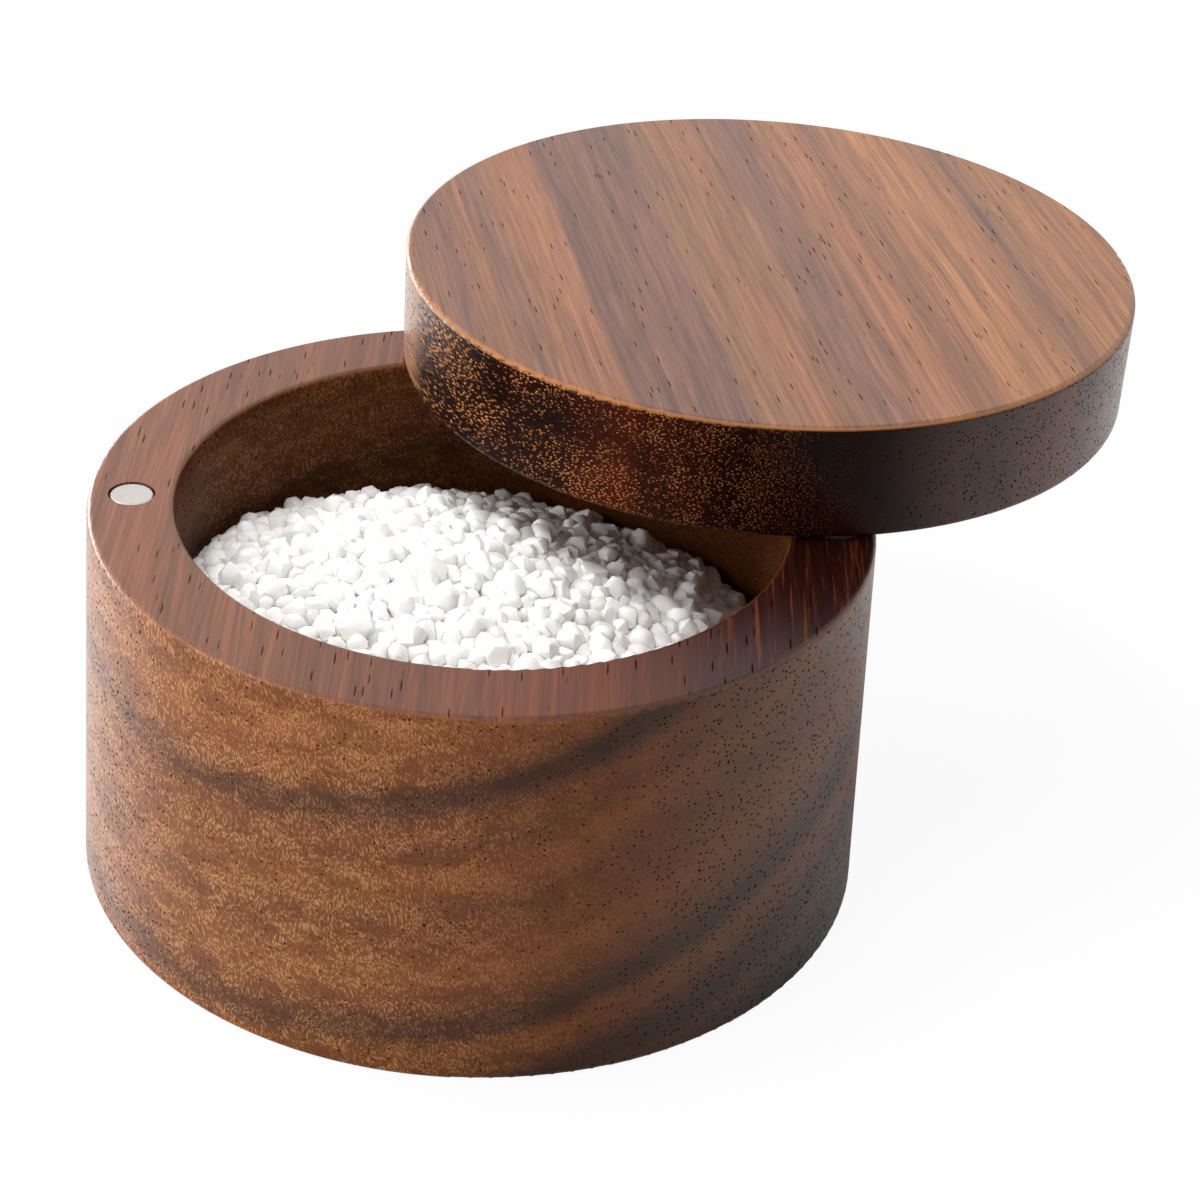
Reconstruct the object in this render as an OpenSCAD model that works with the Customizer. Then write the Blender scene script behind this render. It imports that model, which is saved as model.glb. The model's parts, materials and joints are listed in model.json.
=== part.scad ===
// Round wooden salt box with a lid that swivels sideways on an upright pin in the wall.
// Millimetres, +Z up. The origin is the centre of the underside, and the pin stands on +X.

/* [Box] */
// Outer diameter of the box at the rim, which is also the lid's diameter
rim_d = 89; // [85:1:130]
// Outer diameter of the box at the underside
base_d = 92; // [86:1:130]
// Height of the box from the underside to the rim
box_h = 46; // [38:1:90]
// Diameter of the bore that holds the salt
bore_d = 69.5; // [50:0.5:74]
// Thickness of the floor under the salt
floor_t = 8; // [4:0.5:14]
// Radius of the fillet between the bore and the floor
floor_fillet = 4; // [1:0.5:8]
// Rounding of the box's and lid's turned edges
edge_r = 0.7; // [0.3:0.1:1.5]

/* [Lid] */
// Thickness of the lid
lid_t = 14; // [12:0.5:24]
// Angle by which the lid is swung open, clockwise seen from above
open_angle = 80; // [0:1:180]

/* [Pivot] */
// Diameter of the steel pin
pin_d = 4; // [3:0.5:5]
// Depth to which the pin is pressed into the wall
pin_in_box = 22; // [12:1:30]
// Chamfer on the pin's two ends
pin_chamfer = 0.4; // [0.1:0.1:0.8]
// Length of the bush in the lid's blind hole
bush_l = 9; // [6:0.5:10]
// Wall thickness of the bush
bush_wall = 1; // [0.5:0.1:1.5]
// Gap between the pin's top and the end of the lid's hole
pin_end_gap = 0.5; // [0.2:0.1:1.5]
// Thickness of the washer between rim and lid
washer_t = 0.4; // [0.2:0.1:1]
// Width of the washer's ring
washer_ring = 2; // [1:0.25:2.5]
// Running clearance of the turning pieces, on each side
run_gap = 0.05; // [0.02:0.01:0.1]

/* [Magnets] */
// Diameter of the two disc magnets
magnet_d = 5; // [3:0.5:5]
// Thickness of the magnets
magnet_t = 2; // [1:0.5:4]
// Chamfer on a magnet's edges
magnet_chamfer = 0.2; // [0.1:0.05:0.3]
// Bearing of the magnets round the rim, counted from the pin
magnet_bearing = 184; // [150:1:210]
// Depth of a magnet's face below the wood
magnet_sink = 0.1; // [0.05:0.05:0.5]
// Glue line round a magnet in its pocket
glue_gap = 0.15; // [0.05:0.05:0.3]

/* [Salt] */
// Depth of the heap's crest below the rim, without its lumps
salt_below_rim = 6.7; // [5:0.1:18]
// Radius of the heap's domed surface
heap_r = 78; // [60:1:200]
// Place of the heap's crest, from the centre towards the pin
crest_x = -5.5; // [-15:0.5:15]
// Place of the heap's crest, from the centre towards the back
crest_y = -9; // [-15:0.5:15]
// Rings of the net that the heap's surface is drawn on: every other knot is a lump
net_rings = 8; // [4:2:12]
// Height of the tallest lumps
lump_h = 1.2; // [0:0.1:2]
// Gap between the salt and the bore's wall
salt_gap = 0.1; // [0.05:0.05:0.5]

/* [Hidden] */
$fn = 120;
rim_r = rim_d / 2;
base_r = base_d / 2;
bore_r = bore_d / 2;
// The pin and the magnets stand in the middle of the wall at the rim
wall_mid_r = (rim_r + bore_r) / 2;
lid_z = box_h + washer_t + run_gap;
pin_r = pin_d / 2;
pin_l = pin_in_box + washer_t + run_gap + bush_l - pin_end_gap;
bush_r = pin_r + run_gap + bush_wall;
pocket_r = magnet_d / 2 + glue_gap;
pocket_depth = magnet_sink + magnet_t;
// Extra length of a cut past the face that it opens
cut_over = 1;
fill_r = bore_r - salt_gap;
// Least height of the heap's surface
fill_low_z = floor_t + floor_fillet + 1;
// The lumps are between this share of the tallest and the whole of it, drawn by lot
lump_least = 0.6;
lump_seed = 5;
// Steps of the fillet at the foot of the salt
foot_steps = 4;
wood = "#93643a";
lid_wood = "#8a5f3f";
steel = "#b9bcc0";
brass = "#b99a55";
nylon = "#2f2a26";
nickel = "#d5d6d8";
salt = "#efede8";

// Direction of a vector
function unit(v) = v / norm(v);

// Half of the angle at corner p between its neighbours a and b
function half_angle(a, p, b) = acos(unit(a - p) * unit(b - p)) / 2;

// Centre of the circle of radius r that rounds corner p
function round_centre(a, p, b, r) =
    p + unit(unit(a - p) + unit(b - p)) * r / sin(half_angle(a, p, b));

// Points where that circle meets the two sides
function round_ends(a, p, b, r) =
    let (reach = r / tan(half_angle(a, p, b)))
    [p + unit(a - p) * reach, p + unit(b - p) * reach];

// Flat outline with true arcs at its corners: radii holds one radius for each corner, 0 for a sharp one
module rounded_outline(corners, radii) {
    last = len(corners) - 1;
    before = [for (i = [0:last]) corners[i == 0 ? last : i - 1]];
    after = [for (i = [0:last]) corners[i == last ? 0 : i + 1]];
    polygon([
        for (i = [0:last])
            each radii[i] == 0 ? [corners[i]] : round_ends(before[i], corners[i], after[i], radii[i])
    ]);
    for (i = [0:last])
        if (radii[i] > 0)
            translate(round_centre(before[i], corners[i], after[i], radii[i]))
                circle(r = radii[i]);
}

// Places a shape on the middle of the wall at a bearing round the rim
module on_wall(bearing) {
    rotate([0, 0, bearing])
        translate([wall_mid_r, 0, 0])
            children();
}

// Swings the closed lid, and what is in it, open about the pin
module swung_open() {
    translate([wall_mid_r, 0, lid_z])
        rotate([0, 0, -open_angle])
            translate([-wall_mid_r, 0, 0])
                children();
}

// Turned wall and floor: flared side, rounded edges and a filleted bore
module box_turning() {
    rotate_extrude() {
        rounded_outline(
            [[0, 0], [base_r, 0], [rim_r, box_h], [bore_r, box_h], [bore_r, floor_t], [0, floor_t]],
            [0, edge_r, edge_r, edge_r, 0, 0]
        );
        difference() {
            translate([bore_r - floor_fillet, floor_t])
                square(floor_fillet);
            translate([bore_r - floor_fillet, floor_t + floor_fillet])
                circle(r = floor_fillet);
        }
    }
}

// Box turned from one block, with a blind hole for the pin and a pocket for its magnet
module box_body() {
    color(wood)
        difference() {
            box_turning();
            on_wall(0)
                translate([0, 0, box_h - pin_in_box])
                    cylinder(r = pin_r, h = pin_in_box + cut_over);
            on_wall(magnet_bearing)
                translate([0, 0, box_h - pocket_depth])
                    cylinder(r = pocket_r, h = pocket_depth + cut_over);
        }
}

// Lid: a turned disc with a blind hole for the bush and a magnet pocket in its underside
module lid() {
    color(lid_wood)
        swung_open()
            difference() {
                rotate_extrude()
                    rounded_outline(
                        [[0, 0], [rim_r, 0], [rim_r, lid_t], [0, lid_t]],
                        [0, edge_r, edge_r, 0]
                    );
                on_wall(0)
                    translate([0, 0, -cut_over])
                        cylinder(r = bush_r, h = bush_l + cut_over);
                on_wall(magnet_bearing)
                    translate([0, 0, -cut_over])
                        cylinder(r = pocket_r, h = pocket_depth + cut_over);
            }
}

// Steel dowel, pressed into the wall and standing up into the bush
module pivot_pin() {
    color(steel)
        on_wall(0)
            translate([0, 0, box_h - pin_in_box])
                rotate_extrude()
                    polygon([
                        [0, 0], [pin_r - pin_chamfer, 0], [pin_r, pin_chamfer],
                        [pin_r, pin_l - pin_chamfer], [pin_r - pin_chamfer, pin_l], [0, pin_l]
                    ]);
}

// Brass sleeve, pressed into the lid, that turns on the pin
module pivot_bush() {
    color(brass)
        swung_open()
            on_wall(0)
                difference() {
                    cylinder(r = bush_r, h = bush_l);
                    translate([0, 0, -cut_over])
                        cylinder(r = pin_r + run_gap, h = bush_l + 2 * cut_over);
                }
}

// Nylon washer on the pin, lying on the rim, that the lid slides on
module pivot_washer() {
    color(nylon)
        on_wall(0)
            translate([0, 0, box_h])
                difference() {
                    cylinder(r = pin_r + run_gap + washer_ring, h = washer_t);
                    translate([0, 0, -cut_over])
                        cylinder(r = pin_r + run_gap, h = washer_t + 2 * cut_over);
                }
}

// Disc magnet with its foot at the origin
module disc_magnet() {
    face_r = magnet_d / 2 - magnet_chamfer;
    rotate_extrude()
        polygon([
            [0, 0], [face_r, 0], [magnet_d / 2, magnet_chamfer],
            [magnet_d / 2, magnet_t - magnet_chamfer], [face_r, magnet_t], [0, magnet_t]
        ]);
}

// Magnet glued into the rim
module rim_magnet() {
    color(nickel)
        on_wall(magnet_bearing)
            translate([0, 0, box_h - pocket_depth])
                disc_magnet();
}

// Magnet glued into the lid's underside, over the rim magnet when the lid is closed
module lid_magnet() {
    color(nickel)
        swung_open()
            on_wall(magnet_bearing)
                translate([0, 0, magnet_sink])
                    disc_magnet();
}

// Height of the heap's surface at a place, without its lumps
function heap_z(x, y) =
    let (reach = min(norm([x - crest_x, y - crest_y]), heap_r))
    max(fill_low_z, box_h - salt_below_rim - heap_r + sqrt(pow(heap_r, 2) - pow(reach, 2)));

// Number of knots inside a ring of the net: ring k has 6k knots round one in the middle
function knots_inside(ring) = ring == 0 ? 0 : 1 + 3 * ring * (ring - 1);

// Number of a knot, counted round its ring from the pin's side
function knot(ring, i) = knots_inside(ring) + (ring == 0 ? 0 : i % (6 * ring));

// Salt that fills the bore up to a lumpy heap, highest towards the front left
module salt_heap() {
    sides = 6 * net_rings;
    heap_knots = knots_inside(net_rings + 1);
    lumps = rands(lump_least * lump_h, lump_h, heap_knots, lump_seed);
    heap = [
        for (ring = [0:net_rings])
            for (i = [0:max(0, 6 * ring - 1)])
                let (
                    r = fill_r * ring / net_rings,
                    bearing = ring == 0 ? 0 : 60 * i / ring,
                    x = r * cos(bearing),
                    y = r * sin(bearing),
                    is_lump = ring < net_rings && ring % 2 == 0 && i % 2 == 0
                )
                [x, y, heap_z(x, y) + (is_lump ? lumps[knot(ring, i)] : 0)]
    ];
    foot = [
        for (step = [0:foot_steps])
            let (
                turn = 90 * step / foot_steps,
                r = fill_r - floor_fillet * (1 - cos(turn)),
                z = floor_t + floor_fillet * (1 - sin(turn))
            )
            for (i = [0:sides - 1])
                [r * cos(360 * i / sides), r * sin(360 * i / sides), z]
    ];
    net = [
        for (ring = [0:net_rings - 1])
            for (sector = [0:5])
                let (
                    inner = sector * ring,
                    outer = sector * (ring + 1)
                )
                each [
                    for (j = [0:ring])
                        [knot(ring, inner + j), knot(ring + 1, outer + j + 1), knot(ring + 1, outer + j)],
                    if (ring > 0)
                        for (j = [0:ring - 1])
                            [knot(ring, inner + j), knot(ring, inner + j + 1), knot(ring + 1, outer + j + 1)]
                ]
    ];
    wall = [
        for (step = [0:foot_steps])
            for (i = [0:sides - 1])
                let (
                    above = step == 0 ? knots_inside(net_rings) : heap_knots + (step - 1) * sides,
                    below = heap_knots + step * sides,
                    next = (i + 1) % sides
                )
                [above + i, above + next, below + next, below + i]
    ];
    underside = [for (i = [0:sides - 1]) heap_knots + foot_steps * sides + i];
    color(salt)
        polyhedron(points = concat(heap, foot), faces = concat(net, wall, [underside]), convexity = 4);
}

box_body();
lid();
pivot_pin();
pivot_bush();
pivot_washer();
rim_magnet();
lid_magnet();
salt_heap();
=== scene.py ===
# Round wooden salt box with its lid swung open, a heap of coarse salt inside, on a white studio floor.
import bpy
import bmesh
import json
import math
import random
from mathutils import Matrix, Vector

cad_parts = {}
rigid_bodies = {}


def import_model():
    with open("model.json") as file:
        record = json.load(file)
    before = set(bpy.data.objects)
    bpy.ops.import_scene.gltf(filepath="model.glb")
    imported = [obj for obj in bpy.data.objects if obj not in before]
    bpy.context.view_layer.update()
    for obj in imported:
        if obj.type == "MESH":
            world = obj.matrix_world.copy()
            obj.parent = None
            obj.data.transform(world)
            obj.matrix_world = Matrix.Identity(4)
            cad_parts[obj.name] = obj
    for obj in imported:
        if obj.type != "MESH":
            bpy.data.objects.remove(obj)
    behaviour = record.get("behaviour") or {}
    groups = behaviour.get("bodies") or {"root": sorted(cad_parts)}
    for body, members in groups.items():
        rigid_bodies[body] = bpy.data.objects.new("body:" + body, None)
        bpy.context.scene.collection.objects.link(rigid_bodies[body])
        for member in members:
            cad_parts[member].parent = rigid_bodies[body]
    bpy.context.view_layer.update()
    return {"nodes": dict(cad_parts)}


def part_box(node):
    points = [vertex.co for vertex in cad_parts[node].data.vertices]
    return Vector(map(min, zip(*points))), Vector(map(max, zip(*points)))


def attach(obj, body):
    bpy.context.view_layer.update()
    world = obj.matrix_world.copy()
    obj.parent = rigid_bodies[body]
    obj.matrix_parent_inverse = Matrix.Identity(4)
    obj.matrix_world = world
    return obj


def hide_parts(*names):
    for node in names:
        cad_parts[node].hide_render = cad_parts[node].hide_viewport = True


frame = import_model()
nodes = frame["nodes"]
MM = 0.001


# Camera: stands in front of the box and above it, and looks down at 31 degrees through a long lens,
# as the photograph was taken. It leans a little to one side.
CAMERA_PLACE = Vector((6.6, -291.4, 210.5)) * MM
CAMERA_AIM = Vector((14.2, 15.9, 24.1)) * MM
CAMERA_LEAN = math.radians(3.9)
camera_data = bpy.data.cameras.new("camera")
camera_data.lens = 88.5
camera_data.sensor_width = 36.0
camera_data.clip_start = 0.01
camera = bpy.data.objects.new("camera", camera_data)
look = (CAMERA_AIM - CAMERA_PLACE).to_track_quat("-Z", "Y").to_matrix().to_4x4()
camera.matrix_world = Matrix.Translation(CAMERA_PLACE) @ look @ Matrix.Rotation(CAMERA_LEAN, 4, "Z")
bpy.context.collection.objects.link(camera)
bpy.context.scene.camera = camera


# Box: one block of acacia, turned outside and bored out, then oiled to a satin shine. The grain runs
# from front to back, so the front shows end grain with golden flecks under dark growth bands.
def linear(hex_code):
    """An sRGB hex colour as the linear colour that a socket takes."""
    channels = [int(hex_code[i:i + 2], 16) / 255 for i in (1, 3, 5)]
    return [c / 12.92 if c <= 0.04045 else ((c + 0.055) / 1.055) ** 2.4 for c in channels] + [1.0]


def add_node(tree, kind, inputs=None, stops=None, **settings):
    """Adds one node with its settings. An input takes a value, a socket, or a node for its first output
    in use. A colour is given as its hex code, and a colour ramp as its stops. Where input names repeat,
    places are used: in a Map Range 1 and 2 are the ends going in, and 3 and 4 the ends coming out; in a
    colour Mix 0 is the share, and 6 and 7 are the colours."""
    node = tree.nodes.new(kind)
    for name, value in settings.items():
        setattr(node, name, value)
    for key, value in (inputs or {}).items():
        if isinstance(value, bpy.types.Node):
            value = next(output for output in value.outputs if output.enabled)
        if isinstance(value, bpy.types.NodeSocket):
            tree.links.new(value, node.inputs[key])
        else:
            is_colour = isinstance(value, str) and value.startswith("#")
            node.inputs[key].default_value = linear(value) if is_colour else value
    for i, (place, colour) in enumerate(stops or []):
        element = node.color_ramp.elements[i] if i < 2 else node.color_ramp.elements.new(place)
        element.position = place
        element.color = linear(colour)
    return node


def new_material(name):
    """An empty material and its node tree."""
    material = bpy.data.materials.new(name)
    material.use_nodes = True
    material.node_tree.nodes.clear()
    return material, material.node_tree


def spread_stops(stops):
    """Colours at places in millimetres, as the stops of a ramp from 0 to 1."""
    first = stops[0][0]
    last = stops[-1][0]
    return [((place - first) / (last - first), colour) for place, colour in stops]


# How wide and how long the wood's features are, in millimetres: across, along and up the block
SLOW_SWAY_SIZE = (30, 110, 30)
QUICK_SWAY_SIZE = (4, 22, 4)
STREAK_SIZE = (1.3, 60, 1.3)
HAIR_SIZE = (0.28, 16, 0.28)
CURL_SIZE = (3, 22, 3)

# How far the fibres stray from straight, in millimetres
SLOW_SWAY = 3.0
QUICK_SWAY = 0.9

# How dark and how light streaks and hair lines make the wood
STREAK_TONE = (0.7, 1.28)
HAIR_TONE = (0.76, 1.2)

FLECK_CORE = 0.45  # of its reach, how far a fleck is fully golden
FLECKS_ON_DARK = 0.2  # of their strength, what flecks keep on the darkest rings
PORE_COLOUR = "#140a06"
PORE_DARKNESS = 0.75  # on upright faces
PORE_EDGE = (0.33, 0.18)  # of its cell: where a pore begins, and where it is fully open
SATIN_ROUGHNESS = (0.27, 0.37)
BORE_PAINTED_SHADE = 0.72  # painted shade: how light the bore's wall is, against the outside
BORE_FILM = 0.35  # how much of the outside's shine it has
PORE_DEPTH = 0.15 * MM


def turned_acacia(name, pith, grain_turn, rings, top, plain, bore, end_tones_by_x, flecks, pores):
    """Oiled acacia cut from one block, with its rings, streaks, pores and flecks running right through.
    Distances are millimetres in the block's own axes: X across, Z up, and the grain along Y, which is
    turned by grain_turn. pith is the X and Z of the middle of the growth rings, rings their radii and
    top the stripes of flat faces by X, dark in part with painted shade, plain the even colour that dims the
    rings on one flank, bore the radius of a bored hole (0 for none), and end_tones_by_x the colours that
    multiply end grain, by X.
    The comments at the box's call say what each value in flecks and pores is."""
    material, tree = new_material(name)
    coords = add_node(tree, "ShaderNodeTexCoord")
    block = add_node(tree, "ShaderNodeMapping", {
        "Vector": coords.outputs["Object"], "Location": (-pith[0], 0, -pith[1]),
        "Rotation": (0, 0, -grain_turn), "Scale": (1 / MM,) * 3})
    from_pith = add_node(tree, "ShaderNodeSeparateXYZ", {0: block}).outputs[0]
    place_across = add_node(tree, "ShaderNodeMath", {0: from_pith, 1: pith[0]}, operation="ADD")
    faces_up = add_node(tree, "ShaderNodeSeparateXYZ", {0: coords.outputs["Normal"]}).outputs[2]
    on_top = add_node(tree, "ShaderNodeMapRange", {"Value": faces_up, 1: 0.5, 2: 0.8})
    on_side = add_node(tree, "ShaderNodeMath", {0: 1.0, 1: on_top}, operation="SUBTRACT")

    # The fibres sway by a millimetre or two along the block, and each bundle by less
    slow = add_node(tree, "ShaderNodeVectorMath", {
        0: block, 1: [1 / s for s in SLOW_SWAY_SIZE]}, operation="MULTIPLY")
    slow = add_node(tree, "ShaderNodeTexNoise", {"Vector": slow, "Scale": 1.0, "Detail": 1.0})
    quick = add_node(tree, "ShaderNodeVectorMath", {
        0: block, 1: [1 / s for s in QUICK_SWAY_SIZE]}, operation="MULTIPLY")
    quick = add_node(tree, "ShaderNodeTexNoise", {"Vector": quick, "Scale": 1.0, "Detail": 2.0})
    sway = add_node(tree, "ShaderNodeVectorMath", {
        0: slow.outputs["Color"], 1: (SLOW_SWAY,) * 3, 2: (-SLOW_SWAY / 2,) * 3}, operation="MULTIPLY_ADD")
    sway = add_node(tree, "ShaderNodeVectorMath", {
        0: quick.outputs["Color"], 1: (QUICK_SWAY,) * 3, 2: sway}, operation="MULTIPLY_ADD")
    fibre = add_node(tree, "ShaderNodeVectorMath", {0: block, 1: sway}, operation="ADD")

    # The bored hole, by the distance from the box's own axis
    level_place = add_node(tree, "ShaderNodeVectorMath", {
        0: coords.outputs["Object"], 1: (1, 1, 0)}, operation="MULTIPLY")
    from_axis = add_node(tree, "ShaderNodeVectorMath", {0: level_place}, operation="LENGTH").outputs["Value"]
    in_bore = add_node(tree, "ShaderNodeMath", {0: from_axis, 1: bore * MM}, operation="LESS_THAN")

    # Growth rings, by the distance from the pith across the grain, fainter on one flank and in the bore
    across = add_node(tree, "ShaderNodeVectorMath", {0: fibre, 1: (1, 0, 1)}, operation="MULTIPLY")
    radius = add_node(tree, "ShaderNodeVectorMath", {0: across}, operation="LENGTH").outputs["Value"]
    ring_place = add_node(tree, "ShaderNodeMapRange", {"Value": radius, 1: rings[0][0], 2: rings[-1][0]})
    ring_tone = add_node(tree, "ShaderNodeValToRGB", {
        "Fac": ring_place}, spread_stops(rings)).outputs["Color"]
    if plain:
        flank = add_node(tree, "ShaderNodeMapRange", {
            "Value": place_across, 1: plain["flank"][0], 2: plain["flank"][1], 4: plain["share"]})
        faint = add_node(tree, "ShaderNodeMath", {0: in_bore, 1: plain["share"]}, operation="MULTIPLY")
        faint = add_node(tree, "ShaderNodeMath", {0: flank, 1: faint}, operation="MAXIMUM")
        ring_tone = add_node(tree, "ShaderNodeMix", {
            0: faint, 6: ring_tone, 7: plain["colour"]}, data_type="RGBA").outputs["Result"]

    # Streaks a millimetre wide, and hair lines between them
    streak_place = add_node(tree, "ShaderNodeVectorMath", {
        0: fibre, 1: [1 / s for s in STREAK_SIZE]}, operation="MULTIPLY")
    streaks = add_node(tree, "ShaderNodeTexNoise", {
        "Vector": streak_place, "Scale": 1.0, "Detail": 5.0, "Roughness": 0.72}).outputs["Fac"]
    hair_place = add_node(tree, "ShaderNodeVectorMath", {
        0: fibre, 1: [1 / s for s in HAIR_SIZE]}, operation="MULTIPLY")
    hairs = add_node(tree, "ShaderNodeTexNoise", {
        "Vector": hair_place, "Scale": 1.0, "Detail": 2.0}).outputs["Fac"]
    streak_value = add_node(tree, "ShaderNodeMapRange", {
        "Value": streaks, 1: 0.34, 2: 0.66, 3: STREAK_TONE[0], 4: STREAK_TONE[1]})
    hair_value = add_node(tree, "ShaderNodeMapRange", {
        "Value": hairs, 1: 0.32, 2: 0.68, 3: HAIR_TONE[0], 4: HAIR_TONE[1]})
    value = add_node(tree, "ShaderNodeMath", {0: streak_value, 1: hair_value}, operation="MULTIPLY")

    # Flat faces have stripes of their own, with bright hair lines where they are dark; their dark part holds
    # painted shade
    flat_tone = ring_tone
    if top:
        stripe_place = add_node(tree, "ShaderNodeMapRange", {
            "Value": place_across, 1: top["stripes"][0][0], 2: top["stripes"][-1][0]})
        stripes = add_node(tree, "ShaderNodeValToRGB", {"Fac": stripe_place}, spread_stops(top["stripes"]))
        dark_part = add_node(tree, "ShaderNodeMapRange", {
            "Value": place_across, 1: top["lines_from"][0], 2: top["lines_from"][1]})
        lines = add_node(tree, "ShaderNodeMapRange", {"Value": hairs, 1: 0.56, 2: 0.72, 4: 0.32})
        lines = add_node(tree, "ShaderNodeMath", {0: lines, 1: dark_part}, operation="MULTIPLY")
        stripes = add_node(tree, "ShaderNodeMix", {
            0: lines, 6: stripes.outputs["Color"], 7: top["lines"]}, data_type="RGBA")
        flat_tone = add_node(tree, "ShaderNodeMix", {
            0: on_top, 6: ring_tone, 7: stripes}, data_type="RGBA").outputs["Result"]
    wood = add_node(tree, "ShaderNodeHueSaturation", {"Value": value, "Color": flat_tone})

    # End grain shows where a face looks along the grain, multiplied by colours by X: on the box it darkens to
    # the right, and on the lid it holds painted reflection
    grain_way = (-math.sin(grain_turn), math.cos(grain_turn), 0)
    facing = add_node(tree, "ShaderNodeVectorMath", {
        0: coords.outputs["Normal"], 1: grain_way}, operation="DOT_PRODUCT").outputs["Value"]
    facing = add_node(tree, "ShaderNodeMath", {0: facing}, operation="ABSOLUTE")
    end_share = add_node(tree, "ShaderNodeMapRange", {
        "Value": facing, 1: flecks["from"][0], 2: flecks["from"][1]}, interpolation_type="SMOOTHSTEP")
    end_share = add_node(tree, "ShaderNodeMath", {0: end_share, 1: on_side}, operation="MULTIPLY")
    end_tone_place = add_node(tree, "ShaderNodeMapRange", {
        "Value": place_across, 1: end_tones_by_x[0][0], 2: end_tones_by_x[-1][0]})
    end_tone = add_node(tree, "ShaderNodeValToRGB", {"Fac": end_tone_place}, spread_stops(end_tones_by_x))
    end_toned = add_node(tree, "ShaderNodeMix", {
        0: 1.0, 6: ring_tone, 7: end_tone}, data_type="RGBA", blend_type="MULTIPLY")
    patch_place = add_node(tree, "ShaderNodeVectorMath", {
        0: fibre, 1: [1 / s for s in flecks["cluster"]]}, operation="MULTIPLY")
    patches = add_node(tree, "ShaderNodeTexNoise", {
        "Vector": patch_place, "Scale": 1.0, "Detail": 3.0, "Roughness": 0.6, "Distortion": 0.6})
    patch_value = add_node(tree, "ShaderNodeMapRange", {
        "Value": patches, 1: 0.3, 2: 0.7, 3: flecks["patch"][0], 4: flecks["patch"][1]})
    end_value = add_node(tree, "ShaderNodeMath", {0: patch_value, 1: hair_value}, operation="MULTIPLY")
    end_wood = add_node(tree, "ShaderNodeHueSaturation", {"Value": end_value, "Color": end_toned})

    # Golden flecks: pale cells round the pores, cut across, in short strokes that point to the pith
    fibre_parts = add_node(tree, "ShaderNodeSeparateXYZ", {0: fibre}).outputs
    depth = add_node(tree, "ShaderNodeMath", {0: fibre_parts[2], 1: -1.0}, operation="MULTIPLY")
    bearing = add_node(tree, "ShaderNodeMath", {0: fibre_parts[0], 1: depth}, operation="ARCTAN2")
    middle_radius = (rings[0][0] + rings[-1][0]) / 2
    arc_cells = add_node(tree, "ShaderNodeMath", {
        0: bearing, 1: middle_radius / flecks["size"][0]}, operation="MULTIPLY")
    radial_cells = add_node(tree, "ShaderNodeMath", {0: radius, 1: flecks["size"][1]}, operation="DIVIDE")
    fleck_place = add_node(tree, "ShaderNodeCombineXYZ", {0: arc_cells, 1: radial_cells})
    curl = add_node(tree, "ShaderNodeVectorMath", {
        0: block, 1: [1 / s for s in CURL_SIZE]}, operation="MULTIPLY")
    curl = add_node(tree, "ShaderNodeTexNoise", {"Vector": curl, "Scale": 1.0, "Detail": 1.0})
    fleck_place = add_node(tree, "ShaderNodeVectorMath", {
        0: curl.outputs["Color"], 1: (flecks["curl"],) * 3, 2: fleck_place}, operation="MULTIPLY_ADD")
    fleck_cells = add_node(tree, "ShaderNodeTexVoronoi", {
        "Vector": fleck_place, "Scale": 1.0}, voronoi_dimensions="2D")
    fleck_share = add_node(tree, "ShaderNodeMapRange", {
        "Value": fleck_cells.outputs["Distance"], 1: flecks["reach"], 2: flecks["reach"] * FLECK_CORE},
        interpolation_type="SMOOTHSTEP")
    fleck_lot = add_node(tree, "ShaderNodeSeparateColor", {0: fleck_cells.outputs["Color"]}).outputs[0]
    crowd = add_node(tree, "ShaderNodeMapRange", {
        "Value": patches, 1: 0.35, 2: 0.65, 3: flecks["few"], 4: flecks["many"]})
    fleck_kept = add_node(tree, "ShaderNodeMath", {0: crowd, 1: fleck_lot}, operation="SUBTRACT")
    fleck_kept = add_node(tree, "ShaderNodeMapRange", {"Value": fleck_kept, 1: 0.0, 2: 0.6})
    fade = add_node(tree, "ShaderNodeMapRange", {
        "Value": place_across, 1: flecks["fade"][1], 2: flecks["fade"][0]}, interpolation_type="SMOOTHSTEP")
    ring_light = add_node(tree, "ShaderNodeRGBToBW", {"Color": ring_tone})
    off_bands = add_node(tree, "ShaderNodeMapRange", {
        "Value": ring_light, 1: flecks["band_light"][0], 2: flecks["band_light"][1], 3: FLECKS_ON_DARK})
    for mask in (fleck_kept, fade, off_bands, flecks["strength"]):
        fleck_share = add_node(tree, "ShaderNodeMath", {0: fleck_share, 1: mask}, operation="MULTIPLY")
    end_wood = add_node(tree, "ShaderNodeMix", {
        0: fleck_share, 6: end_wood, 7: flecks["colour"]}, data_type="RGBA")
    wood = add_node(tree, "ShaderNodeMix", {0: end_share, 6: wood, 7: end_wood}, data_type="RGBA")

    # The bore's wall is darkened with painted shade, as the shade inside the hole
    bore_side = add_node(tree, "ShaderNodeMath", {0: in_bore, 1: on_side}, operation="MULTIPLY")
    bore_shade_value = add_node(tree, "ShaderNodeMapRange", {"Value": bore_side, 3: 1.0, 4: BORE_PAINTED_SHADE})
    wood = add_node(tree, "ShaderNodeHueSaturation", {"Value": bore_shade_value, "Color": wood})

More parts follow.
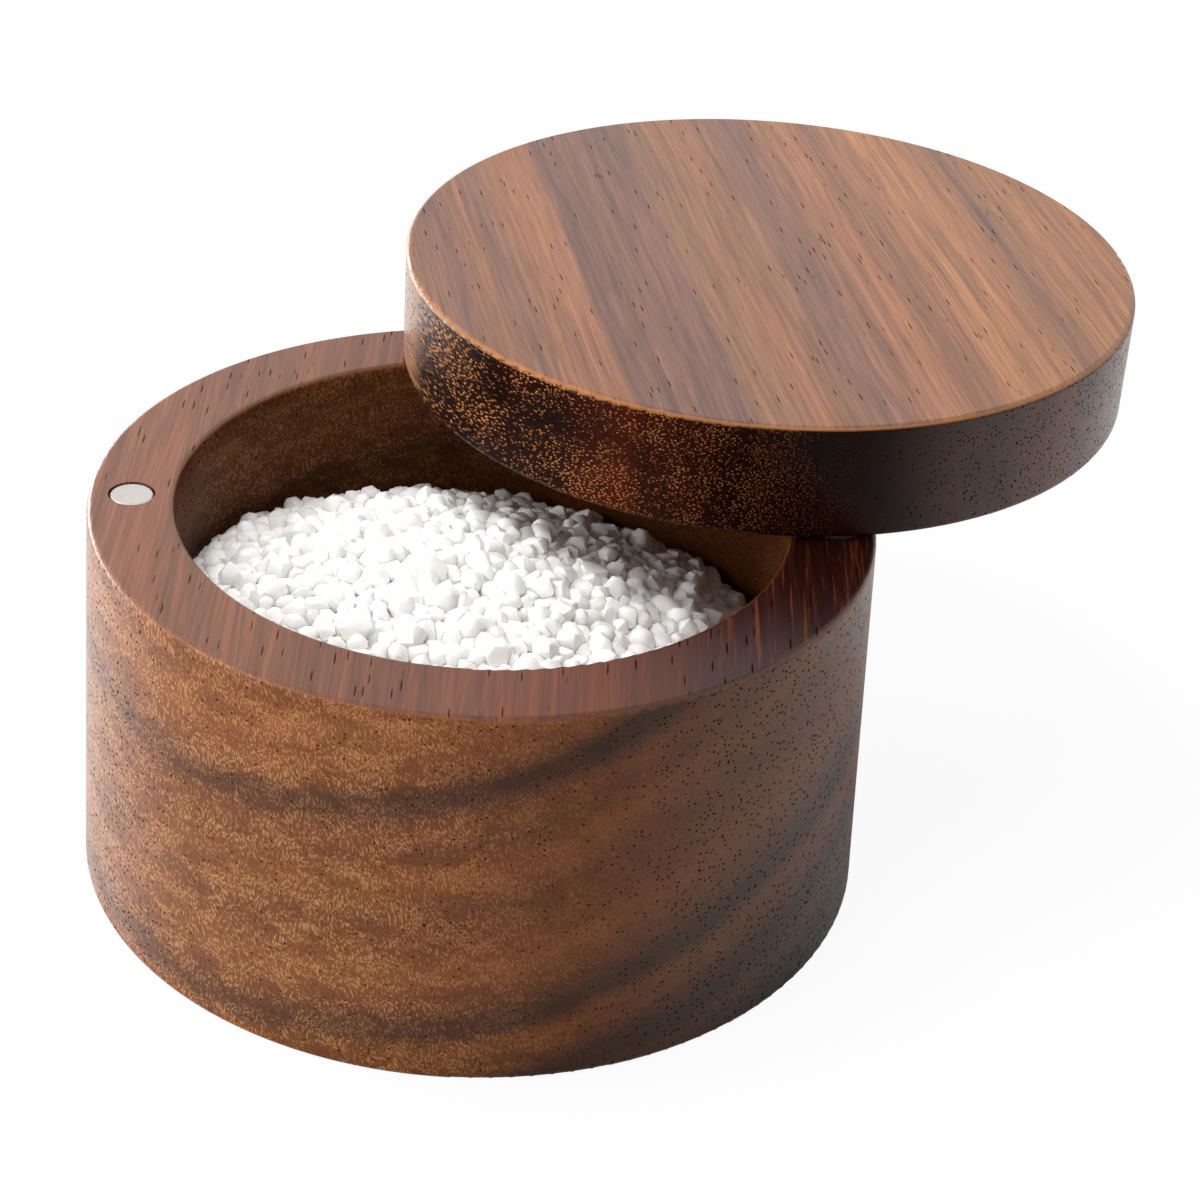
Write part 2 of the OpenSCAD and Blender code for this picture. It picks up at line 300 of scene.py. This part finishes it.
    # Painted highlight: the turned edges are made paler, where the face is neither upright nor level
    edge_highlight_low = add_node(tree, "ShaderNodeMapRange", {"Value": faces_up, 1: 0.35, 2: 0.55})
    edge_highlight_high = add_node(tree, "ShaderNodeMapRange", {"Value": faces_up, 1: 0.9, 2: 0.7})
    edge = add_node(tree, "ShaderNodeMath", {0: edge_highlight_low, 1: edge_highlight_high}, operation="MULTIPLY")
    edge = add_node(tree, "ShaderNodeMath", {0: edge, 1: flecks["edge"]}, operation="MULTIPLY")
    wood = add_node(tree, "ShaderNodeMix", {0: edge, 6: wood, 7: flecks["colour"]}, data_type="RGBA")

    # Pores: open vessels that run along the grain. Real ones are 0.1 to 0.2 mm wide, and they are drawn
    # about twice as wide, so that they show
    pore_cell = add_node(tree, "ShaderNodeMix", {
        0: on_top, 4: [1 / s for s in pores["side_cell"]], 5: [1 / s for s in pores["top_cell"]]},
        data_type="VECTOR")
    pore_place = add_node(tree, "ShaderNodeVectorMath", {0: block, 1: pore_cell}, operation="MULTIPLY")
    cells = add_node(tree, "ShaderNodeTexVoronoi", {"Vector": pore_place, "Scale": 1.0})
    lottery = add_node(tree, "ShaderNodeSeparateColor", {0: cells.outputs["Color"]}).outputs[0]
    on_right = add_node(tree, "ShaderNodeMapRange", {
        "Value": place_across, 1: pores["right"][0], 2: pores["right"][1]}, interpolation_type="SMOOTHSTEP")
    on_left = add_node(tree, "ShaderNodeMapRange", {
        "Value": place_across, 1: pores["left"][0], 2: pores["left"][1]}, interpolation_type="SMOOTHSTEP")
    at_flanks = add_node(tree, "ShaderNodeMath", {0: on_left, 1: on_right}, operation="MAXIMUM")
    crowded = add_node(tree, "ShaderNodeMapRange", {"Value": at_flanks, 3: pores["few"], 4: pores["many"]})
    crowded = add_node(tree, "ShaderNodeMapRange", {"Value": on_top, 3: crowded, 4: pores["top_share"]})
    kept = add_node(tree, "ShaderNodeMath", {0: lottery, 1: crowded}, operation="LESS_THAN")
    pore_share = add_node(tree, "ShaderNodeMapRange", {
        "Value": cells.outputs["Distance"], 1: PORE_EDGE[0], 2: PORE_EDGE[1]},
        interpolation_type="SMOOTHSTEP")
    pore_share = add_node(tree, "ShaderNodeMath", {0: pore_share, 1: kept}, operation="MULTIPLY")
    pore_dark = add_node(tree, "ShaderNodeMapRange", {
        "Value": on_top, 3: PORE_DARKNESS, 4: pores["top_dark"]})
    open_wood = add_node(tree, "ShaderNodeMath", {0: pore_dark, 1: pore_share}, operation="MULTIPLY")
    wood = add_node(tree, "ShaderNodeMix", {0: open_wood, 6: wood, 7: PORE_COLOUR}, data_type="RGBA")

    # The oil leaves a satin film, which is thinner in the bore and on end grain, and missing in the pores
    side_film = add_node(tree, "ShaderNodeMapRange", {
        "Value": at_flanks, 3: pores["end_film"], 4: pores["side_film"]})
    bore_film = add_node(tree, "ShaderNodeMapRange", {"Value": in_bore, 3: 1.0, 4: BORE_FILM})
    side_film = add_node(tree, "ShaderNodeMath", {0: side_film, 1: bore_film}, operation="MULTIPLY")
    film = add_node(tree, "ShaderNodeMapRange", {"Value": on_top, 3: side_film, 4: pores["film"]})
    closed = add_node(tree, "ShaderNodeMath", {0: 1.0, 1: pore_share}, operation="SUBTRACT")
    film = add_node(tree, "ShaderNodeMath", {0: film, 1: closed}, operation="MULTIPLY")
    satin = add_node(tree, "ShaderNodeMapRange", {
        "Value": streaks, 1: 0.3, 2: 0.7, 3: SATIN_ROUGHNESS[0], 4: SATIN_ROUGHNESS[1]})
    relief = add_node(tree, "ShaderNodeMath", {0: hairs, 1: pore_share}, operation="SUBTRACT")
    bump = add_node(tree, "ShaderNodeBump", {"Height": relief, "Strength": 0.3, "Distance": PORE_DEPTH})
    shader = add_node(tree, "ShaderNodeBsdfPrincipled", {
        "Base Color": wood, "Roughness": satin, "Normal": bump, "Specular IOR Level": film, "IOR": 1.5})
    add_node(tree, "ShaderNodeOutputMaterial", {"Surface": shader})
    return material


box_acacia = turned_acacia(
    "oiled_acacia_box",
    pith=(-32.0, 145.5),
    grain_turn=0.0,
    rings=[(96, "#6d3d1d"), (101, "#67381a"), (104, "#734221"), (108, "#6e3d1d"), (110.5, "#65391c"),
           (112.6, "#3a2215"), (114.4, "#3d2317"), (117, "#673a1e"), (119.5, "#5f361c"), (122.5, "#724221"),
           (127, "#60381d"), (131, "#673b1d"), (134.5, "#744423"), (138.5, "#5f371e"), (140.8, "#442a1c"),
           (142.6, "#40271a"), (144.5, "#693d1d"), (146.5, "#63381a"), (149.5, "#422718"), (151.5, "#392316"),
           # the outermost rings, from 149.5 mm, meet the side only low on the right, so the box darkens
           # towards its bottom right
           (154, "#52321e"), (157.5, "#362116"), (161, "#2a1b13")],
    top={
        # rim stripes by X: from X 11 on they darken partly as the wood does and partly with painted shade,
        # the lid's shadow and its dark side mirrored in the rim
        "stripes": [(-46, "#734a37"), (-36, "#6e4431"), (-31, "#66402e"), (-25, "#704632"), (-17, "#653d2a"),
                    (-1, "#623726"), (7, "#64331f"), (11, "#5d2b15"), (15, "#52250f"), (19, "#441a09"),
                    (24, "#331008"), (30, "#250905"), (46, "#1f0804")],
        "lines": "#7a3d1c",  # bright hair lines in their dark part
        "lines_from": (20, 28),  # X where the lines begin, and are in full
    },
    plain={
        "colour": "#643920",
        "flank": (14, -40),  # X where the rings begin to fade, and are faintest
        "share": 0.5,  # how much they fade there, and in the bore
    },
    bore=37,
    # end grain by X: darker towards the right
    end_tones_by_x=[(-10, "#ffffff"), (5, "#f4eeea"), (30, "#e0d6d0")],
    flecks={
        "colour": "#b98858",
        "size": (0.22, 0.5),  # round the pith, and towards it
        "reach": 0.52,  # how much of its cell a fleck fills
        "cluster": (5.0, 40.0, 2.5),  # patches with many flecks: across, along and up
        "few": 0.3,  # how many cells have a fleck between the patches
        "many": 1.2,  # and inside them, where more than 1 also makes the flecks stronger
        "patch": (0.86, 1.16),  # how light the wood is between the patches and in them
        "curl": 6.0,  # how many cells the strokes are bent by
        "strength": 0.5,
        "fade": (-14, 24),  # X where they begin to thin out, and where none is left
        "band_light": (0.02, 0.05),  # how light a ring is where they are faint, and where they are full
        "from": (0.12, 0.4),  # how squarely a cut crosses the grain where end grain begins, and is full
        "edge": 0.06,  # share of painted highlight on the turned edges
    },
    pores={
        "side_cell": (0.55, 1.3, 0.55),  # room for one pore on upright faces: across, along and up
        "top_cell": (0.42, 4.5, 0.42),  # and on flat faces
        "left": (-30, -40),  # X where the left flank's many pores begin, and are in full
        "right": (10, 30),  # and the right flank's
        "few": 0.15,  # share of cells with an open pore on end grain
        "many": 0.85,  # on the flanks
        "top_share": 0.2,  # and on flat faces
        "top_dark": 0.56,  # how dark a pore is there
        "film": 0.45,  # how strongly the oil shines on flat faces
        "side_film": 0.27,  # on the flanks
        "end_film": 0.12,  # and on end grain
    },
)
nodes["box_body"].material_slots[0].material = box_acacia


# Lid: a disc of the same acacia, turned and oiled like the box. Its board runs almost from front to
# back as the lid stands open, with straight stripes on top and a darker, flecked end.
lid_acacia = turned_acacia(
    "oiled_acacia_lid",
    pith=(-360.1, 53.0),
    grain_turn=math.radians(11.5),
    rings=[(356, "#75513a"), (361, "#704c3f"), (365, "#82563f"), (368, "#714e3f"), (370.5, "#86583e"),
           (376, "#86583e"), (377, "#69483e"), (381, "#6d4b3f"), (388, "#69483f"), (390, "#79543e"),
           (397, "#84573e"), (401, "#79533e"), (404, "#6d4b3f"), (408, "#80553f"), (411.5, "#8e5d3f"),
           (415.5, "#7a503c"), (419, "#8d5e3f"), (421, "#956441"), (427.5, "#8c5d3e"), (430.5, "#704d3c"),
           (434, "#8e5f3e"), (443, "#885b3c")],
    top=None,
    plain=None,
    bore=0,
    # end grain by X: the wood's own dark end with painted reflection, darkest up to X 46 where it mirrors the
    # box's rim, pale grey towards the right where it mirrors the white floor
    end_tones_by_x=[(0, "#3c1a0c"), (8, "#4c2412"), (15, "#85492c"), (24, "#54240f"), (34, "#30110a"), (46, "#5c3327"),
           (72, "#ac8c82")],
    flecks={
        "colour": "#cc874c",
        "size": (0.3, 0.38),
        "reach": 0.37,
        "cluster": (9.0, 40.0, 7.0),
        "few": 0.3,
        "many": 1.1,
        "patch": (0.45, 1.2),
        "curl": 2.0,
        "strength": 0.72,
        "fade": (4, 44),
        "band_light": (0.0, 0.01),
        "from": (0.05, 0.2),
        # painted highlight on the turned edges
        "edge": 0.4,
    },
    pores={
        "side_cell": (0.55, 1.3, 0.55),
        "top_cell": (0.38, 3.6, 0.38),
        "left": (3, -4),
        "right": (39, 56),
        "few": 0.12,
        "many": 0.9,
        "top_share": 0.12,
        "top_dark": 0.56,
        "film": 0.38,
        "side_film": 0.34,
        "end_film": 0.06,
    },
)
nodes["lid"].material_slots[0].material = lid_acacia


# Pivot: a ground steel dowel pressed into the wall, a turned brass bush in the lid that runs on it,
# and a thin nylon washer between lid and rim. Only the washer's edge shows, painted dark as the shade in the
# gap.
LINE_LENGTH = 5


def turned_metal(name, colour, line_width, roughness):
    """Bare metal with fine lines round it, left by the grinding wheel or the lathe tool. They stretch
    its shine into an upright streak. Lines are in millimetres, and roughness goes from low to high."""
    material, tree = new_material(name)
    coords = add_node(tree, "ShaderNodeTexCoord")
    lines = add_node(tree, "ShaderNodeMapping", {
        "Vector": coords.outputs["Object"],
        "Scale": (1 / (LINE_LENGTH * MM), 1 / (LINE_LENGTH * MM), 1 / (line_width * MM))})
    lines = add_node(tree, "ShaderNodeTexNoise", {"Vector": lines, "Scale": 1.0, "Detail": 2.0})
    sheen = add_node(tree, "ShaderNodeMapRange", {"Value": lines, 3: roughness[0], 4: roughness[1]})
    shader = add_node(tree, "ShaderNodeBsdfPrincipled", {
        "Base Color": colour, "Metallic": 1.0, "Roughness": sheen})
    add_node(tree, "ShaderNodeOutputMaterial", {"Surface": shader})
    return material


ground_steel = turned_metal("ground_steel_pin", "#b8bbbe", 0.15, (0.2, 0.4))
nodes["pivot_pin"].material_slots[0].material = ground_steel
turned_brass = turned_metal("turned_brass_bush", "#c9a45c", 0.12, (0.25, 0.45))
nodes["pivot_bush"].material_slots[0].material = turned_brass

# The washer is moulded from nylon, which is half matt with a faint grain 0.4 mm wide. Its near-black colour
# is painted shade for the gap under the lid
NYLON_GRAIN_PER_MM = 2.5
nylon, tree = new_material("moulded_nylon_washer")
coords = add_node(tree, "ShaderNodeTexCoord")
grain = add_node(tree, "ShaderNodeTexNoise", {
    "Vector": coords.outputs["Object"], "Scale": NYLON_GRAIN_PER_MM / MM, "Detail": 2.0})
tone = add_node(tree, "ShaderNodeValToRGB", {"Fac": grain}, [(0.3, "#2b2622"), (0.7, "#37312c")])
shader = add_node(tree, "ShaderNodeBsdfPrincipled", {"Base Color": tone, "Roughness": 0.5, "IOR": 1.53})
add_node(tree, "ShaderNodeOutputMaterial", {"Surface": shader})
nodes["pivot_washer"].material_slots[0].material = nylon


# Magnets: two nickel-plated discs, glued into the rim and the lid's underside. The plating is satin,
# with fine random scuffs half a millimetre wide, because such discs are tumbled and not polished.
SCUFFS_PER_MM = 1.8
nickel, tree = new_material("satin_nickel_plate")
coords = add_node(tree, "ShaderNodeTexCoord")
tumbling = add_node(tree, "ShaderNodeTexNoise", {
    "Vector": coords.outputs["Object"], "Scale": SCUFFS_PER_MM / MM, "Detail": 4.0, "Roughness": 0.7})
tone = add_node(tree, "ShaderNodeValToRGB", {"Fac": tumbling}, [(0.3, "#cdc8c3"), (0.7, "#dad5d0")])
scuffs = add_node(tree, "ShaderNodeMapRange", {"Value": tumbling, 3: 0.35, 4: 0.55})
shader = add_node(tree, "ShaderNodeBsdfPrincipled", {
    "Base Color": tone, "Metallic": 1.0, "Roughness": scuffs})
add_node(tree, "ShaderNodeOutputMaterial", {"Surface": shader})
for magnet in ("rim_magnet", "lid_magnet"):
    nodes[magnet].material_slots[0].material = nickel


# Salt: about a thousand coarse crystals, poured into the bore and heaped a little. Each is a cloudy
# white lump with flat facets and worn corners, and lies loose on the salt under it.
RIM_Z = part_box("box_body")[1].z
SALT_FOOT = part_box("salt_heap")[0].z
SALT_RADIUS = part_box("salt_heap")[1].x - 0.1 * MM
HEAP_CURVE = 78 * MM  # radius of the ball that the dome is cut from
CREST_BELOW_RIM = 6.7 * MM
CREST_PLACE = Vector((-5.5, -9.0)) * MM
BED_DEPTH = 0.6 * MM  # how far the bed lies under the dome
BED_RINGS = 24
BED_SECTORS = 72


def heap_height(x, y):
    """Height of the heap's domed surface."""
    reach = (Vector((x, y)) - CREST_PLACE).length
    return RIM_Z - CREST_BELOW_RIM - HEAP_CURVE + math.sqrt(HEAP_CURVE ** 2 - reach ** 2)


def salt_bed():
    """The salt under the top crystals: one closed mesh that fills the bore to just below their middles."""
    bed = bmesh.new()
    top = bed.verts.new((0, 0, heap_height(0, 0) - BED_DEPTH))
    loops = []
    for ring in range(1, BED_RINGS + 1):
        radius = SALT_RADIUS * ring / BED_RINGS
        loop = []
        for i in range(BED_SECTORS):
            x = radius * math.cos(math.tau * i / BED_SECTORS)
            y = radius * math.sin(math.tau * i / BED_SECTORS)
            loop.append(bed.verts.new((x, y, heap_height(x, y) - BED_DEPTH)))
        loops.append(loop)
    loops.append([bed.verts.new((v.co.x, v.co.y, SALT_FOOT)) for v in loops[-1]])
    foot = bed.verts.new((0, 0, SALT_FOOT))
    for i in range(BED_SECTORS):
        k = (i + 1) % BED_SECTORS
        bed.faces.new((top, loops[0][i], loops[0][k]))
        for inner, outer in zip(loops, loops[1:]):
            bed.faces.new((inner[i], outer[i], outer[k], inner[k]))
        bed.faces.new((foot, loops[-1][k], loops[-1][i]))
    bmesh.ops.recalc_face_normals(bed, faces=bed.faces)
    mesh = bpy.data.meshes.new("salt_bed")
    bed.to_mesh(mesh)
    bed.free()
    return mesh


CRYSTAL_SHAPES = 7
CRYSTAL_CORNERS = 24
SPIRAL_TURN = math.pi * (3 - math.sqrt(5))  # the turn that spreads corners evenly
CORNER_SCATTER = 0.16  # how far a corner strays from its even place
CORNER_WEAR = 0.1  # of its size, how much a corner may be worn down
BOXINESS = 0.35  # salt grows in cubes: 0 is a ball, 1 a cube
SOFT_ANGLE = math.radians(38)  # edges blunter than this are worn smooth


def crystal_shapes():
    """A collection of different lumps, each a millimetre across, with flat facets between the corners."""
    chance = random.Random(11)
    shapes = bpy.data.collections.new("crystal_shapes")
    for i in range(CRYSTAL_SHAPES):
        lump = bmesh.new()
        for corner in range(CRYSTAL_CORNERS):
            # Corners lie along a spiral from pole to pole, each a little off its place
            rise = 1 - (2 * corner + 1) / CRYSTAL_CORNERS
            girth = math.sqrt(1 - rise ** 2)
            bearing = corner * SPIRAL_TURN
            way = Vector((girth * math.cos(bearing), girth * math.sin(bearing), rise))
            way = (way + Vector([chance.gauss(0, CORNER_SCATTER) for _ in range(3)])).normalized()
            longest = max(abs(c) for c in way)
            lump.verts.new(way * 0.5 * MM / longest ** BOXINESS * chance.uniform(1 - CORNER_WEAR, 1.0))
        hull = bmesh.ops.convex_hull(lump, input=lump.verts)
        spare = hull["geom_interior"] + hull["geom_unused"]
        inside = {v for v in spare if isinstance(v, bmesh.types.BMVert)}
        bmesh.ops.delete(lump, geom=list(inside), context="VERTS")
        for face in lump.faces:
            face.smooth = True
        for edge in lump.edges:
            edge.smooth = edge.calc_face_angle() < SOFT_ANGLE
        mesh = bpy.data.meshes.new("crystal_shape")
        lump.to_mesh(mesh)
        lump.free()
        shapes.objects.link(bpy.data.objects.new("crystal_shape", mesh))
    return shapes


# Sea salt dried in pans: milky, with facets from glossy to matt where the grains rub. Light seeps into
# it, so it glows where it is lit and turns grey in the shade
CLOUDS_PER_MM = 0.5
LIGHT_DEPTH = 0.6 * MM
salt_white, tree = new_material("coarse_salt")
coords = add_node(tree, "ShaderNodeTexCoord")
cloud = add_node(tree, "ShaderNodeTexNoise", {
    "Vector": coords.outputs["Object"], "Scale": CLOUDS_PER_MM / MM, "Detail": 3.0})
tone = add_node(tree, "ShaderNodeValToRGB", {"Fac": cloud}, [(0.35, "#fffdf9"), (0.7, "#fbf8f2")])
wear = add_node(tree, "ShaderNodeMapRange", {"Value": cloud, 3: 0.2, 4: 0.5})
shader = add_node(tree, "ShaderNodeBsdfPrincipled", {
    "Base Color": tone, "Roughness": wear, "IOR": 1.54, "Subsurface Weight": 0.7,
    "Subsurface Radius": (1.0, 0.98, 0.94), "Subsurface Scale": LIGHT_DEPTH})
add_node(tree, "ShaderNodeOutputMaterial", {"Surface": shader})

UPPER_FACE = 0.3  # faces of the bed that look up more than this carry crystals
TRIED_PER_M2 = 4e6  # more points than their spacing lets through
SIZE_POWER = 1.3  # above 1 gives more small crystals than large ones
CRYSTAL_REACH = 0.56  # of its size, how far a crystal's corners lie from its middle
CRYSTAL_RISE = (-0.28, 0.18)  # of its size, how far its middle sinks or stands out
LEAST_STRETCH = (0.85, 0.85, 0.7)
MOST_STRETCH = (1.2, 1.1, 1.0)


def salt_tree():
    """Strews crystals over the bed's upper faces, sinks them into it and keeps them inside the wall. Also
    returns the values of the tree's inputs, by identifier."""
    tree = bpy.data.node_groups.new("strewn_salt", "GeometryNodeTree")
    tree.interface.new_socket("Geometry", in_out="INPUT", socket_type="NodeSocketGeometry")
    values = {
        "Spacing": ("NodeSocketFloat", 1.65 * MM),
        "Smallest": ("NodeSocketFloat", 2.3 * MM),
        "Largest": ("NodeSocketFloat", 4.0 * MM),
        "Wall radius": ("NodeSocketFloat", SALT_RADIUS),
        "Bed depth": ("NodeSocketFloat", BED_DEPTH),
        "Seed": ("NodeSocketInt", 7),
        "Shapes": ("NodeSocketCollection", crystal_shapes()),
        "Material": ("NodeSocketMaterial", salt_white),
    }
    settings = {
        tree.interface.new_socket(name, in_out="INPUT", socket_type=kind).identifier: value
        for name, (kind, value) in values.items()}
    tree.interface.new_socket("Geometry", in_out="OUTPUT", socket_type="NodeSocketGeometry")
    given = add_node(tree, "NodeGroupInput").outputs

    normal = add_node(tree, "GeometryNodeInputNormal")
    faces_up = add_node(tree, "ShaderNodeSeparateXYZ", {0: normal}).outputs[2]
    upper = add_node(tree, "FunctionNodeCompare", {0: faces_up, 1: UPPER_FACE}, operation="GREATER_THAN")
    points = add_node(tree, "GeometryNodeDistributePointsOnFaces", {
        "Mesh": given["Geometry"], "Selection": upper, "Distance Min": given["Spacing"],
        "Density Max": TRIED_PER_M2, "Seed": given["Seed"]}, distribute_method="POISSON")

    # Sizes from smallest to largest, with more small ones than large ones
    spread = add_node(tree, "FunctionNodeRandomValue", {"Seed": given["Seed"]}, data_type="FLOAT")
    spread = add_node(tree, "ShaderNodeMath", {0: spread, 1: SIZE_POWER}, operation="POWER")
    size = add_node(tree, "ShaderNodeMapRange", {
        "Value": spread, 3: given["Smallest"], 4: given["Largest"]}).outputs[0]

    # A crystal's middle lies near the heap's surface, and half its size or more from the wall
    place = add_node(tree, "GeometryNodeInputPosition").outputs[0]
    flat = add_node(tree, "ShaderNodeVectorMath", {0: place, 1: (1, 1, 0)}, operation="MULTIPLY")
    from_middle = add_node(tree, "ShaderNodeVectorMath", {0: flat}, operation="LENGTH").outputs["Value"]
    half_size = add_node(tree, "ShaderNodeMath", {0: size, 1: CRYSTAL_REACH}, operation="MULTIPLY")
    reach = add_node(tree, "ShaderNodeMath", {0: given["Wall radius"], 1: half_size}, operation="SUBTRACT")
    nearer = add_node(tree, "ShaderNodeMath", {0: reach, 1: from_middle}, operation="DIVIDE")
    nearer = add_node(tree, "ShaderNodeMath", {0: nearer, 1: 1.0}, operation="MINIMUM")
    squeeze = add_node(tree, "ShaderNodeCombineXYZ", {0: nearer, 1: nearer, 2: 1.0})
    kept_in = add_node(tree, "ShaderNodeVectorMath", {0: place, 1: squeeze}, operation="MULTIPLY")
    sunk = add_node(tree, "FunctionNodeRandomValue", {
        2: CRYSTAL_RISE[0], 3: CRYSTAL_RISE[1], "Seed": 2}, data_type="FLOAT")
    rise = add_node(tree, "ShaderNodeMath", {
        0: sunk, 1: size, 2: given["Bed depth"]}, operation="MULTIPLY_ADD")
    lifted = add_node(tree, "ShaderNodeCombineXYZ", {2: rise})
    lifted = add_node(tree, "ShaderNodeVectorMath", {0: kept_in, 1: lifted}, operation="ADD")
    points = add_node(tree, "GeometryNodeSetPosition", {
        "Geometry": points.outputs["Points"], "Position": lifted})

    # Each point gets one of the shapes, turned and stretched by chance
    stretch = add_node(tree, "FunctionNodeRandomValue", {
        "Min": LEAST_STRETCH, "Max": MOST_STRETCH, "Seed": 3}, data_type="FLOAT_VECTOR")
    per_mm = add_node(tree, "ShaderNodeMath", {0: size, 1: MM}, operation="DIVIDE")
    scale = add_node(tree, "ShaderNodeVectorMath", {0: stretch, "Scale": per_mm}, operation="SCALE")
    turn = add_node(tree, "FunctionNodeRandomValue", {
        "Min": (0, 0, 0), "Max": (math.tau,) * 3, "Seed": 5}, data_type="FLOAT_VECTOR")
    shapes = add_node(tree, "GeometryNodeCollectionInfo", {
        "Collection": given["Shapes"], "Separate Children": True, "Reset Children": True})
    strewn = add_node(tree, "GeometryNodeInstanceOnPoints", {
        "Points": points, "Instance": shapes, "Pick Instance": True, "Rotation": turn, "Scale": scale})
    real = add_node(tree, "GeometryNodeRealizeInstances", {"Geometry": strewn})
    joined = add_node(tree, "GeometryNodeJoinGeometry", {0: real})
    tree.links.new(given["Geometry"], joined.inputs[0])
    dressed = add_node(tree, "GeometryNodeSetMaterial", {"Geometry": joined, "Material": given["Material"]})
    add_node(tree, "NodeGroupOutput", {0: dressed})
    return tree, settings


salt_maker = bpy.data.objects.new("salt_maker", salt_bed())
bpy.context.collection.objects.link(salt_maker)
modifier = salt_maker.modifiers.new("strewn_salt", "NODES")
modifier.node_group, salt_settings = salt_tree()
for identifier, value in salt_settings.items():
    modifier[identifier] = value
strewn_salt = salt_maker.evaluated_get(bpy.context.evaluated_depsgraph_get())
salt_mesh = bpy.data.meshes.new_from_object(strewn_salt)
bpy.data.objects.remove(salt_maker)
for shape in list(bpy.data.collections["crystal_shapes"].objects):
    bpy.data.objects.remove(shape)
salt = bpy.data.objects.new("coarse_salt", salt_mesh)
bpy.context.collection.objects.link(salt)
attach(salt, "box")
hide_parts("salt_heap")


# Studio: a sheet of white paper under the box and white all round. One soft box hangs overhead and one
# stands behind on the left, and two low panels on the left brighten that side's edges.
HALF_FLOOR = 3.0  # metres from the middle to an edge
floor_corners = [(-HALF_FLOOR, -HALF_FLOOR, 0), (HALF_FLOOR, -HALF_FLOOR, 0),
                 (HALF_FLOOR, HALF_FLOOR, 0), (-HALF_FLOOR, HALF_FLOOR, 0)]
floor_data = bpy.data.meshes.new("floor")
floor_data.from_pydata(floor_corners, [], [(0, 1, 2, 3)])
floor = bpy.data.objects.new("floor", floor_data)
bpy.context.collection.objects.link(floor)

# Matt white paper, lit so brightly that the photograph shows it plain white
SHOWN_LIFT = 0.93  # how much of that white the camera gets
MIRRORED_LIFT = 0.1  # and how much the wood's shine mirrors
paper, tree = new_material("white_paper_sweep")
rays = add_node(tree, "ShaderNodeLightPath")
mirrored = add_node(tree, "ShaderNodeMath", {
    0: rays.outputs["Is Glossy Ray"], 1: rays.outputs["Is Transmission Ray"]}, operation="MAXIMUM")
mirrored = add_node(tree, "ShaderNodeMath", {0: mirrored, 1: MIRRORED_LIFT}, operation="MULTIPLY")
shown = add_node(tree, "ShaderNodeMath", {
    0: rays.outputs["Is Camera Ray"], 1: SHOWN_LIFT}, operation="MULTIPLY")
lift = add_node(tree, "ShaderNodeMath", {0: mirrored, 1: shown}, operation="MAXIMUM")
matt = add_node(tree, "ShaderNodeBsdfDiffuse", {"Color": "#f2f2f2"})
white = add_node(tree, "ShaderNodeEmission", {"Color": "#ffffff", "Strength": 1.0})
both = add_node(tree, "ShaderNodeMixShader", {0: lift, 1: matt, 2: white})
add_node(tree, "ShaderNodeOutputMaterial", {"Surface": both})
floor_data.materials.append(paper)

OBJECT_MIDDLE = Vector((0.01, 0.01, 0.03))


def soft_light(name, place, size, watts, mirrored=True):
    """A soft box or panel that faces the object, with its place and size in metres. mirrored says if
    the wood's shine shows it."""
    data = bpy.data.lights.new(name, "AREA")
    data.shape = "RECTANGLE"
    data.size, data.size_y = size
    data.energy = watts
    light = bpy.data.objects.new(name, data)
    light.location = place
    light.rotation_euler = (OBJECT_MIDDLE - light.location).to_track_quat("-Z", "Y").to_euler()
    light.visible_glossy = mirrored
    bpy.context.collection.objects.link(light)


soft_light("overhead_soft_box", (-0.2, 0.05, 1.1), (0.6, 0.6), 8.1, mirrored=False)
soft_light("back_left_soft_box", (-0.5, 0.75, 0.8), (0.5, 0.4), 6.2, mirrored=False)
soft_light("left_panel", (-0.55, -0.25, 0.22), (0.45, 0.35), 3.9)
soft_light("left_edge_panel", (-0.45, 0.35, 0.1), (0.5, 0.2), 3.4)

# The white all round is seen and mirrored in full, but lights the object with a third of that
WORLD_LIGHT = 0.34
world = bpy.data.worlds.new("studio")
bpy.context.scene.world = world
world.use_nodes = True
tree = world.node_tree
tree.nodes.clear()
rays = add_node(tree, "ShaderNodeLightPath")
seen = add_node(tree, "ShaderNodeMath", {
    0: rays.outputs["Is Camera Ray"], 1: rays.outputs["Is Glossy Ray"]}, operation="MAXIMUM")
seen = add_node(tree, "ShaderNodeMath", {
    0: seen, 1: rays.outputs["Is Transmission Ray"]}, operation="MAXIMUM")
level = add_node(tree, "ShaderNodeMapRange", {"Value": seen, 3: WORLD_LIGHT, 4: 1.0})
air = add_node(tree, "ShaderNodeBackground", {"Color": "#ffffff", "Strength": level})
add_node(tree, "ShaderNodeOutputWorld", {"Surface": air})

bpy.context.scene.view_settings.view_transform = "Standard"
